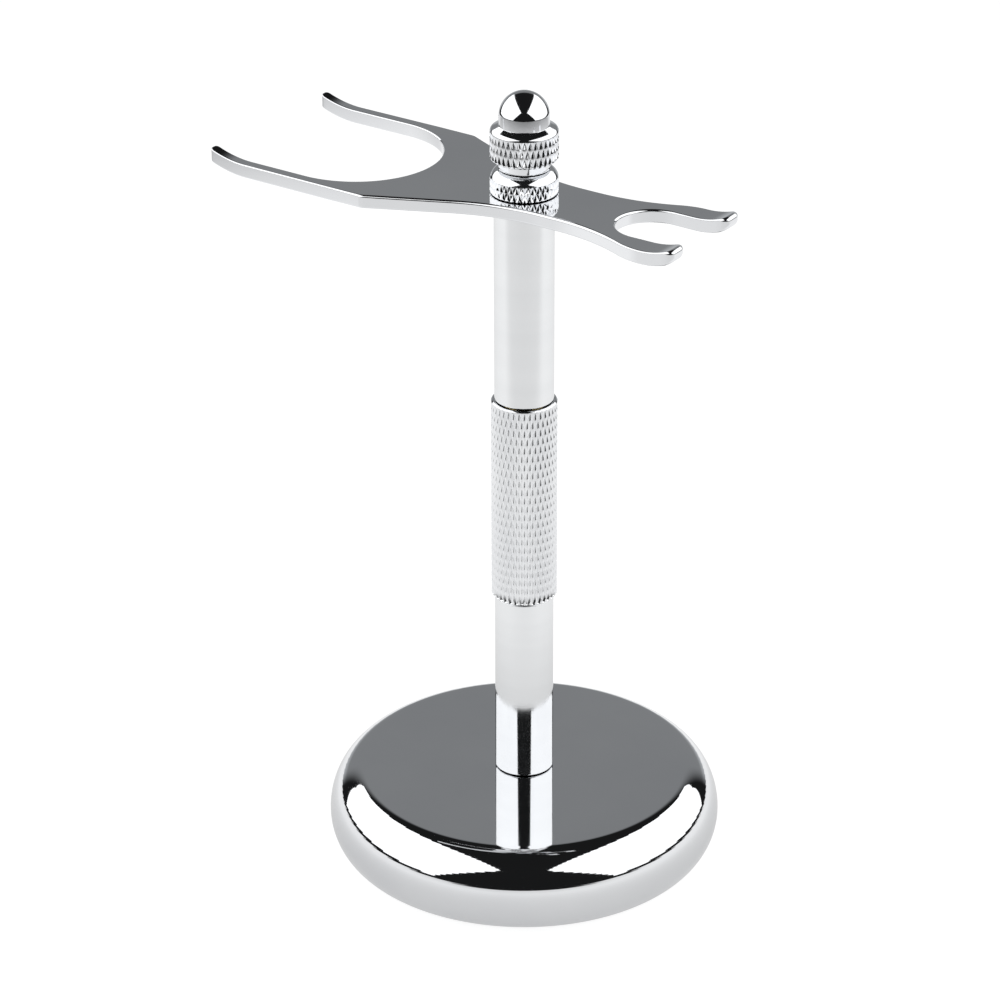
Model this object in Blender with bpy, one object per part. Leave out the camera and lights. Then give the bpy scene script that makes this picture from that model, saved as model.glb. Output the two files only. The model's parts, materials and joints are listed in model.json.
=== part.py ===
"""Razor and brush stand: a weighted round base, a post in three sections, and a two-ended fork on top.

The post's tubes and the knurled grip are stacked on one tie rod. A nut under the base pulls the stack
together, a knurled collar clamps the fork plate on top, and a domed finial locks the collar.

Lengths are in millimetres until MM turns them into metres. +Z is up, the origin is the centre of the
underside, and +X points along the fork plate to its narrow razor end.
"""

import math

import bmesh
import bpy
from mathutils import Vector

MM = 0.001

# Clearances
GAP = 0.3  # between pieces that face each other inside the stand
SEAM = 0.2  # at the joints that can be seen from outside

# Facets round each piece
FINE = 64
MEDIUM = 48
COARSE = 32
HEXAGON = 6
CUTTER_REACH = 3  # a bore's cutter is this many times as long as the piece is thick

# Base: a turned cover over an iron disc, standing on a soft pad
BASE_RADIUS = 36.5
BASE_TOP_Z = 16.2
BASE_WIDEST_Z = 7.4
BASE_TOP_ROUND = 6.5  # how far the upper edge rounds in
BASE_FOOT_ROUND = 5.2  # how far the lower edge rounds in
BASE_FOOT_Z = 0.4
CAVITY_RADIUS = 30.1
CAVITY_TOP_Z = 13.4
COVER_HOLE_RADIUS = 3.9
PAD_TOP_Z = 1.6
PAD_EDGE = 0.4
NUT_WELL_RADIUS = 7.5
NUT_WELL_TOP_Z = 9.8

# Tie rod (M5) and the fasteners under the base; threads are plain cylinders
ROD_RADIUS = 2.3
ROD_HOLE_RADIUS = 2.65
ROD_FOOT_Z = 2.2
ROD_TOP_Z = 143.2
ROD_POINT = 0.7
FLAT_WASHER_RADIUS = 5.0
FLAT_WASHER_THICK = 1.0
SPRING_WASHER_RADIUS = 4.5
SPRING_WASHER_THICK = 1.0
SPRING_WASHER_RISE = 0.3
SPRING_WASHER_TURN = 345  # degrees
NUT_ACROSS_FLATS = 8.0
NUT_HEIGHT = 3.8

# Post sections and the bushes that line them up
POST_RADIUS = 5.4
POST_BORE = 3.9
GRIP_RADIUS = 6.0
GRIP_FOOT_Z = 52.4
GRIP_TOP_Z = 91.6
GRIP_CHAMFER = 0.4
BUSH_HALF_LENGTH = 5.0
FOOT_BUSH_TOP_Z = 22.0
TOP_BUSH_FOOT_Z = 119.0
WASHER_SEAT_RADIUS = 4.7
WASHER_SEAT_DEPTH = 1.3

# Fork plate, seen from above, symmetric about its long axis
PLATE_FOOT_Z = 128.9
PLATE_TOP_Z = 131.4
PLATE_EDGE = 0.4
WAIST_HALF_WIDTH = 7.2
WAIST_BRUSH_X = 8.0
WAIST_RAZOR_X = 11.0
FLARE_RADIUS = 38.0
BRUSH_TIP_X = -56.0
BRUSH_HALF_WIDTH = 17.55
BRUSH_SLOT_HALF = 15.4
BRUSH_SLOT_CENTRE_X = -36.1
BRUSH_FLARE_ANGLE = 25.0  # degrees from the long axis where the flare turns straight
SHOULDER_RADIUS = 2.5
RAZOR_TIP_X = 37.5
RAZOR_HALF_WIDTH = 11.2
RAZOR_SLOT_HALF = 6.55
RAZOR_SLOT_CENTRE_X = 26.7
RAZOR_FLARE_ANGLE = 22.8
BRUSH_TIP_ROUND = 0.8
RAZOR_TIP_ROUND = 1.1
BRUSH_CURL_X = -48.0
BRUSH_CURL_RISE = 1.6
RAZOR_CURL_X = 31.0
RAZOR_CURL_RISE = 1.4
CURL_SLICES = 5

# Knurled collar above the plate
KNURL_RADIUS = 6.05
COLLAR_SHOULDER_Z = 134.4
COLLAR_TOP_Z = 135.9
NECK_RADIUS = 4.65
COLLAR_RECESS_RADIUS = 4.5
COLLAR_RECESS_DEPTH = 1.1
COLLAR_WASHER_THICK = 0.7

# Domed finial
FINIAL_BAND_FOOT_Z = 137.7
FINIAL_BAND_TOP_Z = 143.3
FINIAL_NECK_TOP_Z = 143.85
FINIAL_EDGE = 0.3
DOME_RADIUS = 4.5
DOME_FOOT_Z = 145.95
OVERALL_HEIGHT = 150.0
FINIAL_BORE_TOP_Z = 144.2
FINIAL_RECESS_RADIUS = 3.75
FINIAL_RECESS_DEPTH = 1.0
FINIAL_WASHER_THICK = 0.6


def clear_scene():
    for obj in list(bpy.data.objects):
        bpy.data.objects.remove(obj, do_unlink=True)


def material(name, colour, roughness, metallic):
    mat = bpy.data.materials.new(name)
    mat.use_nodes = True
    shader = mat.node_tree.nodes["Principled BSDF"]
    shader.inputs["Base Color"].default_value = (*colour, 1.0)
    shader.inputs["Roughness"].default_value = roughness
    shader.inputs["Metallic"].default_value = metallic
    return mat


def chrome(name):
    return material(name, (0.80, 0.81, 0.83), 0.06, 1.0)


def plated_steel(name):
    return material(name, (0.62, 0.62, 0.60), 0.35, 1.0)


def brass(name):
    return material(name, (0.78, 0.62, 0.30), 0.30, 1.0)


def nylon(name):
    return material(name, (0.86, 0.85, 0.80), 0.55, 0.0)


def axis_empty(name, z):
    """An empty on the post's axis, which is the axis of every joint."""
    empty = bpy.data.objects.new(name, None)
    empty.location = (0.0, 0.0, z * MM)
    empty.empty_display_size = 0.01
    bpy.context.collection.objects.link(empty)
    return empty


def add_object(name, bm, mat, z, parent=None):
    """Link a mesh, drawn in absolute millimetres, as an object whose origin is at height z on the axis."""
    bmesh.ops.translate(bm, verts=bm.verts, vec=(0.0, 0.0, -z))
    bmesh.ops.scale(bm, verts=bm.verts, vec=(MM, MM, MM))
    bmesh.ops.recalc_face_normals(bm, faces=bm.faces)
    mesh = bpy.data.meshes.new(name)
    bm.to_mesh(mesh)
    bm.free()
    mesh.shade_smooth()
    mesh.set_sharp_from_angle(angle=math.radians(35))
    mesh.materials.append(mat)
    obj = bpy.data.objects.new(name, mesh)
    bpy.context.collection.objects.link(obj)
    obj.location = (0.0, 0.0, z * MM)
    if parent is not None:
        obj.parent = parent
        obj.location.z -= parent.location.z
    return obj


def arc(centre, radii, start, end, steps):
    """Points on an ellipse from start to end degrees, both included."""
    points = []
    for i in range(steps + 1):
        angle = math.radians(start + (end - start) * i / steps)
        points.append((centre[0] + radii[0] * math.cos(angle), centre[1] + radii[1] * math.sin(angle)))
    return points


def turned(profile, closed, facets):
    """Spin a profile of (radius, height) points round the Z axis; an open profile ends on the axis."""
    bm = bmesh.new()
    verts = [bm.verts.new((radius, 0.0, height)) for radius, height in profile]
    pairs = list(zip(verts, verts[1:]))
    if closed:
        pairs.append((verts[-1], verts[0]))
    edges = [bm.edges.new(pair) for pair in pairs]
    bmesh.ops.spin(
        bm,
        geom=verts + edges,
        cent=(0, 0, 0),
        axis=(0, 0, 1),
        angle=math.tau,
        steps=facets,
        use_merge=True,
    )
    bmesh.ops.remove_doubles(bm, verts=bm.verts, dist=0.0005)
    return bm


def ring_profile(inner, outer, low, high, chamfer=0.0):
    """The closed section of a ring or tube, with its outer edges chamfered if a chamfer is given."""
    if not chamfer:
        return [(inner, high), (outer, high), (outer, low), (inner, low)]
    upper = [(inner, high), (outer - chamfer, high), (outer, high - chamfer)]
    lower = [(outer, low + chamfer), (outer - chamfer, low), (inner, low)]
    return upper + lower


def ring(name, mat, inner, outer, low, high, parent=None):
    return add_object(name, turned(ring_profile(inner, outer, low, high), True, COARSE), mat, low, parent)


def prism(radius, segments, depth, z):
    """A closed prism, or a cylinder where there are many segments, centred on the axis at height z."""
    bm = bmesh.new()
    bmesh.ops.create_cone(
        bm, cap_ends=True, segments=segments, radius1=radius, radius2=radius, depth=depth
    )
    bmesh.ops.translate(bm, verts=bm.verts, vec=(0.0, 0.0, z))
    return bm


def cut(target, cutter):
    """Subtract a hidden cutter from a target with a Boolean modifier."""
    cutter.hide_render = True
    cutter.display_type = "WIRE"
    modifier = target.modifiers.new("cut", "BOOLEAN")
    modifier.operation = "DIFFERENCE"
    modifier.solver = "EXACT"
    modifier.object = cutter


def base_cover():
    top = [(COVER_HOLE_RADIUS, BASE_TOP_Z)]
    shoulder_x = BASE_RADIUS - BASE_TOP_ROUND
    rise = BASE_TOP_Z - BASE_WIDEST_Z
    top += arc((shoulder_x, BASE_WIDEST_Z), (BASE_TOP_ROUND, rise), 90, 0, 9)
    foot_x = BASE_RADIUS - BASE_FOOT_ROUND
    drop = BASE_WIDEST_Z - BASE_FOOT_Z
    foot = arc((foot_x, BASE_WIDEST_Z), (BASE_FOOT_ROUND, drop), 0, -90, 6)[1:]
    inside = [(CAVITY_RADIUS, BASE_FOOT_Z), (CAVITY_RADIUS, CAVITY_TOP_Z), (COVER_HOLE_RADIUS, CAVITY_TOP_Z)]
    bm = turned(top + foot + inside, True, FINE)
    return add_object("base_cover", bm, chrome("cover_chrome"), BASE_FOOT_Z)


def ballast_disc():
    radius = CAVITY_RADIUS - GAP
    low = PAD_TOP_Z + GAP
    high = CAVITY_TOP_Z - GAP
    section = [
        (ROD_HOLE_RADIUS, high),
        (radius, high),
        (radius, low),
        (NUT_WELL_RADIUS, low),
        (NUT_WELL_RADIUS, NUT_WELL_TOP_Z),
        (ROD_HOLE_RADIUS, NUT_WELL_TOP_Z),
    ]
    iron = material("cast_iron", (0.12, 0.12, 0.13), 0.75, 0.6)
    return add_object("ballast_disc", turned(section, True, MEDIUM), iron, low)


def base_pad():
    radius = CAVITY_RADIUS - GAP
    section = [
        (0.0, PAD_TOP_Z),
        (radius, PAD_TOP_Z),
        (radius, PAD_EDGE),
        (radius - PAD_EDGE, 0.0),
        (0.0, 0.0),
    ]
    rubber = material("pad_rubber", (0.03, 0.03, 0.03), 0.9, 0.0)
    return add_object("base_pad", turned(section, False, MEDIUM), rubber, 0.0)


def tie_rod():
    section = [
        (0.0, ROD_TOP_Z),
        (ROD_RADIUS - ROD_POINT, ROD_TOP_Z),
        (ROD_RADIUS, ROD_TOP_Z - ROD_POINT),
        (ROD_RADIUS, ROD_FOOT_Z + ROD_POINT),
        (ROD_RADIUS - ROD_POINT, ROD_FOOT_Z),
        (0.0, ROD_FOOT_Z),
    ]
    return add_object("tie_rod", turned(section, False, COARSE), plated_steel("rod_steel"), ROD_FOOT_Z)


def spring_washer(top_z):
    """A split ring whose ends are one rise apart; returns the height of its underside."""
    low = top_z - SPRING_WASHER_RISE - SPRING_WASHER_THICK
    steps = COARSE - 2
    bm = bmesh.new()
    corners = ring_profile(ROD_HOLE_RADIUS, SPRING_WASHER_RADIUS, low, low + SPRING_WASHER_THICK)
    rings = []
    for i in range(steps + 1):
        angle = math.radians(SPRING_WASHER_TURN * i / steps)
        lift = SPRING_WASHER_RISE * i / steps
        place = [(r * math.cos(angle), r * math.sin(angle), z + lift) for r, z in corners]
        rings.append([bm.verts.new(point) for point in place])
    for near, far in zip(rings, rings[1:]):
        for k in range(4):
            bm.faces.new((near[k], near[(k + 1) % 4], far[(k + 1) % 4], far[k]))
    bm.faces.new(rings[0])
    bm.faces.new(rings[-1])
    add_object("base_spring_washer", bm, plated_steel("spring_washer_steel"), low)
    return low


def hex_nut(top_z):
    low = top_z - NUT_HEIGHT
    middle = top_z - NUT_HEIGHT / 2
    steel = plated_steel("nut_steel")
    corner = NUT_ACROSS_FLATS / 2 / math.cos(math.pi / HEXAGON)
    nut = add_object("base_nut", prism(corner, HEXAGON, NUT_HEIGHT, middle), steel, low)
    bore = prism(ROD_HOLE_RADIUS, COARSE, CUTTER_REACH * NUT_HEIGHT, middle)
    cut(nut, add_object("nut_bore_cutter", bore, steel, low))


def base_fasteners():
    """The washers and the nut, hung one under another below the ballast."""
    washer_top = NUT_WELL_TOP_Z - GAP
    washer_low = washer_top - FLAT_WASHER_THICK
    steel = plated_steel("flat_washer_steel")
    ring("base_flat_washer", steel, ROD_HOLE_RADIUS, FLAT_WASHER_RADIUS, washer_low, washer_top)
    hex_nut(spring_washer(washer_low - GAP) - GAP)


def post_sections():
    tube = ring_profile(POST_BORE, POST_RADIUS, BASE_TOP_Z + SEAM, GRIP_FOOT_Z - SEAM)
    sleeve = ring_profile(POST_BORE, GRIP_RADIUS, GRIP_FOOT_Z, GRIP_TOP_Z, GRIP_CHAMFER)
    pieces = (("lower_post", tube, BASE_TOP_Z + SEAM), ("knurled_grip", sleeve, GRIP_FOOT_Z))
    for name, section, low in pieces:
        add_object(name, turned(section, True, MEDIUM), chrome(name + "_chrome"), low)
    low = GRIP_TOP_Z + SEAM
    high = PLATE_FOOT_Z - SEAM
    seat_z = high - WASHER_SEAT_DEPTH
    section = [
        (WASHER_SEAT_RADIUS, high),
        (POST_RADIUS, high),
        (POST_RADIUS, low),
        (POST_BORE, low),
        (POST_BORE, seat_z),
        (WASHER_SEAT_RADIUS, seat_z),
    ]
    add_object("upper_post", turned(section, True, MEDIUM), chrome("upper_post_chrome"), low)
    washer_low = seat_z + GAP
    outer = WASHER_SEAT_RADIUS - GAP
    ring("plate_washer", nylon("plate_washer_nylon"), ROD_HOLE_RADIUS, outer, washer_low, high)


def bushes():
    """Brass bushes on the tie rod that keep the base, the tubes and the grip in line."""
    spans = {
        "foot_bush": (CAVITY_TOP_Z, FOOT_BUSH_TOP_Z),
        "lower_joint_bush": (GRIP_FOOT_Z - BUSH_HALF_LENGTH, GRIP_FOOT_Z + BUSH_HALF_LENGTH),
        "upper_joint_bush": (GRIP_TOP_Z - BUSH_HALF_LENGTH, GRIP_TOP_Z + BUSH_HALF_LENGTH),
        "top_bush": (TOP_BUSH_FOOT_Z, PLATE_FOOT_Z - SEAM - WASHER_SEAT_DEPTH),
    }
    for name, (low, high) in spans.items():
        ring(name, brass(name + "_brass"), ROD_HOLE_RADIUS, POST_BORE - GAP, low, high)


def fillet(corner, before, after, radius, steps):
    """Round the corner between the lines to the points before and after it."""
    corner = Vector(corner)
    to_before = (Vector(before) - corner).normalized()
    to_after = (Vector(after) - corner).normalized()
    half = to_before.angle(to_after) / 2
    reach = radius / math.tan(half)
    centre = corner + (to_before + to_after).normalized() * radius / math.sin(half)
    first = corner + to_before * reach - centre
    last = corner + to_after * reach - centre
    turn = math.atan2(first.x * last.y - first.y * last.x, first.dot(last))
    points = []
    for i in range(steps + 1):
        angle = turn * i / steps
        x = first.x * math.cos(angle) - first.y * math.sin(angle)
        y = first.x * math.sin(angle) + first.y * math.cos(angle)
        points.append((centre.x + x, centre.y + y))
    return points


def plate_side():
    """The plate's outer edge on its +Y side, from the brush tip to the razor tip."""
    flare_y = WAIST_HALF_WIDTH + FLARE_RADIUS
    radii = (FLARE_RADIUS, FLARE_RADIUS)
    to_brush = arc((WAIST_BRUSH_X, flare_y), radii, 270 - BRUSH_FLARE_ANGLE, 270, 6)
    to_razor = arc((WAIST_RAZOR_X, flare_y), radii, 270, 270 + RAZOR_FLARE_ANGLE, 6)
    end_x, end_y = to_brush[0]
    corner_x = end_x - (BRUSH_HALF_WIDTH - end_y) / math.tan(math.radians(BRUSH_FLARE_ANGLE))
    corner = (corner_x, BRUSH_HALF_WIDTH)
    shoulder = fillet(corner, (BRUSH_TIP_X, BRUSH_HALF_WIDTH), to_brush[0], SHOULDER_RADIUS, 4)
    # the arc that takes the razor flare into its straight arm
    turn_x, turn_y = to_razor[-1]
    slope = math.radians(RAZOR_FLARE_ANGLE)
    radius = (RAZOR_HALF_WIDTH - turn_y) / (1 - math.cos(slope))
    centre = (turn_x + radius * math.sin(slope), RAZOR_HALF_WIDTH - radius)
    crown = arc(centre, (radius, radius), 90 + RAZOR_FLARE_ANGLE, 90, 5)[1:]
    return shoulder + to_brush + to_razor + crown


def arm_tip(x, outer, inner, radius):
    """An arm's end from its outer to its inner edge, with both corners rounded."""
    first = fillet((x, outer), (0.0, outer), (x, inner), radius, 2)
    return first + fillet((x, inner), (x, outer), (0.0, inner), radius, 2)


def plate_outline():
    """The whole outline, clockwise seen from above, starting in the brush slot's +Y corner."""
    side = plate_side()
    brush_tip = arm_tip(BRUSH_TIP_X, BRUSH_HALF_WIDTH, BRUSH_SLOT_HALF, BRUSH_TIP_ROUND)
    razor_tip = arm_tip(RAZOR_TIP_X, RAZOR_HALF_WIDTH, RAZOR_SLOT_HALF, RAZOR_TIP_ROUND)
    razor_slot = arc((RAZOR_SLOT_CENTRE_X, 0.0), (RAZOR_SLOT_HALF, RAZOR_SLOT_HALF), 90, 270, 16)
    brush_slot = arc((BRUSH_SLOT_CENTRE_X, 0.0), (BRUSH_SLOT_HALF, BRUSH_SLOT_HALF), -90, 90, 22)
    upper = brush_tip[::-1] + side + razor_tip
    lower = [(x, -y) for x, y in reversed(upper)]
    return upper + razor_slot + lower + brush_slot


def curl(x):
    """How far the plate has risen at x: both pairs of tips curl up."""
    if x < BRUSH_CURL_X:
        return BRUSH_CURL_RISE * ((x - BRUSH_CURL_X) / (BRUSH_TIP_X - BRUSH_CURL_X)) ** 2
    if x > RAZOR_CURL_X:
        return RAZOR_CURL_RISE * ((x - RAZOR_CURL_X) / (RAZOR_TIP_X - RAZOR_CURL_X)) ** 2
    return 0.0


def holder_plate(parent):
    bm = bmesh.new()
    outline = bm.faces.new([bm.verts.new((x, y, PLATE_FOOT_Z)) for x, y in plate_outline()])
    raised = bmesh.ops.extrude_face_region(bm, geom=[outline], use_keep_orig=True)["geom"]
    upper = [item for item in raised if isinstance(item, bmesh.types.BMVert)]
    bmesh.ops.translate(bm, verts=upper, vec=(0.0, 0.0, PLATE_TOP_Z - PLATE_FOOT_Z))
    for start, end in ((BRUSH_CURL_X, BRUSH_TIP_X), (RAZOR_CURL_X, RAZOR_TIP_X)):
        for i in range(CURL_SLICES):
            x = start + (end - start) * i / CURL_SLICES
            everything = bm.verts[:] + bm.edges[:] + bm.faces[:]
            bmesh.ops.bisect_plane(bm, geom=everything, plane_co=(x, 0, 0), plane_no=(1, 0, 0), dist=0.0001)
    for vert in bm.verts:
        vert.co.z += curl(vert.co.x)
    plate = add_object("holder_plate", bm, chrome("plate_chrome"), PLATE_FOOT_Z, parent)
    bevel = plate.modifiers.new("rounded_edges", "BEVEL")
    bevel.width = PLATE_EDGE * MM
    bevel.segments = 2
    bevel.limit_method = "ANGLE"
    bevel.angle_limit = math.radians(40)
    thick = PLATE_TOP_Z - PLATE_FOOT_Z
    bore = prism(ROD_HOLE_RADIUS, COARSE, CUTTER_REACH * thick, PLATE_FOOT_Z + thick / 2)
    cut(plate, add_object("plate_bore_cutter", bore, plate.data.materials[0], PLATE_FOOT_Z))


def clamp_collar(parent):
    low = PLATE_TOP_Z + SEAM
    recess_z = low + COLLAR_RECESS_DEPTH
    section = [
        (ROD_HOLE_RADIUS, COLLAR_TOP_Z),
        (NECK_RADIUS, COLLAR_TOP_Z),
        (KNURL_RADIUS, COLLAR_SHOULDER_Z),
        (KNURL_RADIUS, low),
        (COLLAR_RECESS_RADIUS, low),
        (COLLAR_RECESS_RADIUS, recess_z),
        (ROD_HOLE_RADIUS, recess_z),
    ]
    add_object("clamp_collar", turned(section, True, MEDIUM), chrome("collar_chrome"), low, parent)
    outer = COLLAR_RECESS_RADIUS - GAP
    high = recess_z - GAP
    washer = nylon("collar_washer_nylon")
    ring("collar_washer", washer, ROD_HOLE_RADIUS, outer, high - COLLAR_WASHER_THICK, high, parent)


def finial_knob(parent):
    low = COLLAR_TOP_Z + SEAM
    recess_z = low + FINIAL_RECESS_DEPTH
    height = OVERALL_HEIGHT - DOME_FOOT_Z
    sphere = (DOME_RADIUS**2 + height**2) / (2 * height)
    foot_angle = math.degrees(math.asin((sphere - height) / sphere))
    dome = arc((0.0, OVERALL_HEIGHT - sphere), (sphere, sphere), 90, foot_angle, 8)
    outside = [(0.0, OVERALL_HEIGHT)] + dome[1:]
    outside += [
        (DOME_RADIUS, FINIAL_NECK_TOP_Z),
        (KNURL_RADIUS, FINIAL_BAND_TOP_Z),
        (KNURL_RADIUS, FINIAL_BAND_FOOT_Z + FINIAL_EDGE),
        (KNURL_RADIUS - FINIAL_EDGE, FINIAL_BAND_FOOT_Z),
        (NECK_RADIUS, FINIAL_BAND_FOOT_Z),
        (NECK_RADIUS, low),
    ]
    inside = [
        (FINIAL_RECESS_RADIUS, low),
        (FINIAL_RECESS_RADIUS, recess_z),
        (ROD_HOLE_RADIUS, recess_z),
        (ROD_HOLE_RADIUS, FINIAL_BORE_TOP_Z),
        (0.0, FINIAL_BORE_TOP_Z),
    ]
    bm = turned(outside + inside, False, MEDIUM)
    add_object("finial_knob", bm, chrome("finial_chrome"), low, parent)
    outer = FINIAL_RECESS_RADIUS - GAP
    high = recess_z - GAP
    washer = nylon("finial_washer_nylon")
    ring("finial_washer", washer, ROD_HOLE_RADIUS, outer, high - FINIAL_WASHER_THICK, high, parent)


def main():
    clear_scene()
    base_cover()
    ballast_disc()
    base_pad()
    base_fasteners()
    tie_rod()
    bushes()
    post_sections()
    holder_plate(axis_empty("plate_swivel_axis", PLATE_FOOT_Z))
    clamp_collar(axis_empty("collar_screw_axis", PLATE_TOP_Z))
    finial_knob(axis_empty("finial_screw_axis", COLLAR_TOP_Z))


main()
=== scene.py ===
"""The looks of the razor stand: fine meshes, procedural materials, a studio and the camera."""

import json
import math

import bmesh
import bpy
from mathutils import Matrix, Vector
from mathutils.geometry import delaunay_2d_cdt


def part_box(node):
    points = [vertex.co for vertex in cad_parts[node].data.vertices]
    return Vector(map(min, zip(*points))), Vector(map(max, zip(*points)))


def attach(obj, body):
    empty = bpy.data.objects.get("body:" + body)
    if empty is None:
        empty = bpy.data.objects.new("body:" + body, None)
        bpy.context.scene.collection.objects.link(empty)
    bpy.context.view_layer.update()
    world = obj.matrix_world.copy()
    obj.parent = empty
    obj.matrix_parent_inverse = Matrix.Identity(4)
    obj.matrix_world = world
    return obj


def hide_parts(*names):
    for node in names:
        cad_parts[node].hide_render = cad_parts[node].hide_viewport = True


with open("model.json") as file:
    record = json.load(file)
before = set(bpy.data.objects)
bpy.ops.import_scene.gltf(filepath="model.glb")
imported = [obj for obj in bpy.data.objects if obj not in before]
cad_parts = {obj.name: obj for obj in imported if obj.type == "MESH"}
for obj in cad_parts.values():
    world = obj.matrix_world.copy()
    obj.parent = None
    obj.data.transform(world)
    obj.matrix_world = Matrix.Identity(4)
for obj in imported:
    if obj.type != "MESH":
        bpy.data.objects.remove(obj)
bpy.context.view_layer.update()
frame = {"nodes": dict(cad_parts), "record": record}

# Pieces are drawn in millimetres, which MM turns into the frame's metres. The studio is in metres.
MM = 0.001
MICRON = 0.000001

# Facets round each kind of turned piece
BASE_FACETS = 256
PAD_FACETS = 128
POST_FACETS = 144
BORE_FACETS = 48

# Rounding that plating leaves on turned edges
SOFT_EDGE = 0.18
EDGE_STEPS = 4
GUARD = 0.06  # how close to a corner an extra ring keeps the flat beside it true

# Angles, in degrees, over which an edge is drawn sharp
SHARP_EDGE = 50.0
SHARP_KNURL = 30.0
SHARP_THREAD = 70.0

# Base cover section
BASE_TOP_ROUND = 6.5
BASE_TOP_STEPS = 40
BASE_FOOT_ROUND = 5.2
BASE_FOOT_STEPS = 24
BASE_WIDEST_Z = 7.4
CAVITY_RADIUS = 30.1
CAVITY_TOP_Z = 13.4
COVER_HOLE_RADIUS = 3.9
PAD_EDGE = 0.4

# Post sections
POST_BORE = 3.9
WASHER_SEAT_RADIUS = 4.7
WASHER_SEAT_DEPTH = 1.3

# Diamond knurl: cells round the piece, and half of a cell's height
KNURL_CELLS = 36
KNURL_ROW = 1.7
KNURL_DEPTH = 0.3
KNURL_EDGE = 0.035
KNURL_EDGE_ANGLE = 25.0
KNURL_EDGE_SEGMENTS = 2
GRIP_RIM = 0.45  # plain rim above and below the grip's knurl
BAND_RIM = 0.2

# Fork plate outline, seen from above: the brush fork points to -X and the razor fork to +X
WAIST_HALF_WIDTH = 7.2
WAIST_BRUSH_X = 8.0
WAIST_RAZOR_X = 11.0
FLARE_RADIUS = 38.0
FLARE_STEPS = 24
BRUSH_SLOT_HALF = 15.4
BRUSH_SLOT_CENTRE_X = -36.1
BRUSH_SLOT_STEPS = 72
BRUSH_FLARE_ANGLE = 25.0
SHOULDER_RADIUS = 2.5
SHOULDER_STEPS = 10
RAZOR_HALF_WIDTH = 11.2
RAZOR_SLOT_HALF = 6.55
RAZOR_SLOT_CENTRE_X = 26.7
RAZOR_SLOT_STEPS = 48
RAZOR_FLARE_ANGLE = 22.8
RAZOR_CROWN_STEPS = 18
BRUSH_TIP_ROUND = 0.8
RAZOR_TIP_ROUND = 1.5
TIP_STEPS = 6
OUTLINE_REACH = 0.8  # the longest step along the outline
SAME_POINT = 0.000001  # points closer than this are one
FILL_GAP = 0.00001  # points closer than this become one when a face is filled
FILL_WITHIN = 1  # delaunay_2d_cdt keeps only the triangles that its outlines enclose
PLATE_BORE = 2.65  # radius, as every bore's and hole's size here

# Fork plate thickness, the rise of its curled tips and the rounding of its edge
PLATE_THICK = 2.5
BRUSH_CURL_X = -48.0
BRUSH_CURL_RISE = 1.6
RAZOR_CURL_X = 31.0
RAZOR_CURL_RISE = 1.4
CURL_SLICES = 16
CURL_SPREAD = 0.55  # share of an arm's half width at which the inner points stand
PLATE_ARM_EDGE = 0.28
PLATE_MIDDLE_EDGE = 0.46
PLATE_EDGE_FADE = (20.0, 30.0)  # distance from the post over which the middle turns into the arms
PLATE_TIP_EDGE = 1.0
RAZOR_TIP_LENGTH = 1.6  # the razor tips' extra rounding starts this far from their ends
PLATE_EDGE_STEPS = 5

# Collar section
ROD_HOLE_RADIUS = 2.65
NECK_RADIUS = 4.65
COLLAR_SHOULDER_DROP = 1.5
COLLAR_SHOULDER_TURN = 62.0
COLLAR_SHOULDER_STEPS = 12
COLLAR_RECESS_RADIUS = 4.5
COLLAR_RECESS_DEPTH = 1.1

# Finial section, from the bottom up: neck, knurled band, cone and dome
FINIAL_RECESS_RADIUS = 3.75
FINIAL_RECESS_DEPTH = 1.0
FINIAL_NECK = 1.6
FINIAL_EDGE = 0.3
FINIAL_BAND_TOP_Z = 142.7
FINIAL_CONE_FOOT_Z = 143.25
FINIAL_CONE_TOP_Z = 143.95
FINIAL_CONE_HOLLOW = 0.1
FINIAL_CONE_HOLLOW_STEPS = 6
FINIAL_CONE_ROUND = 0.8
FINIAL_CONE_ROUND_STEPS = 5
FINIAL_BORE_TOP_Z = 144.2
DOME_RADIUS = 4.5
DOME_FOOT_Z = 145.95
DOME_STEPS = 28

# Tie rod thread
THREAD_PITCH = 0.8
THREAD_DEPTH = 0.43
THREAD_LOW_Z = 112.0
THREAD_FACETS = 32
THREAD_ROWS = 8  # rings of vertices to a pitch
THREAD_FLANK = 1.25  # over 1, this leaves a flat crest between the flanks
ROD_POINT = 0.7

# Patterns: noise lies mostly between these two values
NOISE_LOW = 0.3
NOISE_HIGH = 0.7
SMEAR_SCALE = 45.0
MOTTLE_SCALE = 160.0
SMEAR_DETAIL = 3.0
METAL_GRAIN_DETAIL = 2.0
MATTE_GRAIN_DETAIL = 4.0
METAL_BUMP = 0.4
MATTE_BUMP = 0.6
MATTE_SPREAD = 0.08  # how far roughness strays to either side

# Camera: where it looks from, in degrees and metres, and its lens, in millimetres
VIEW_AZIMUTH = 34.17
VIEW_ELEVATION = 26.4
VIEW_DISTANCE = 0.7113
VIEW_TARGET_Z = 0.0712
LENS = 141.0
SENSOR_WIDTH = 36.0
SHIFT_X = -0.0242
CLIP_RANGE = (0.01, 20.0)

# Studio: X is the camera's right, and Y points away from the camera, along the floor
FLOOR_REACH = 0.62
FLOOR_FACETS = 128
FLOOR_Z = -0.00005  # a hair under the pad, so that the two faces don't meet
FLOOR_GREY = 0.30
FLOOR_ROUGHNESS = 0.9
FLOOR_SEEN = 0.86  # the glow that the camera sees, where mirrors see the ramps below
SOFTBOX_GLOW = 1.55
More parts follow.
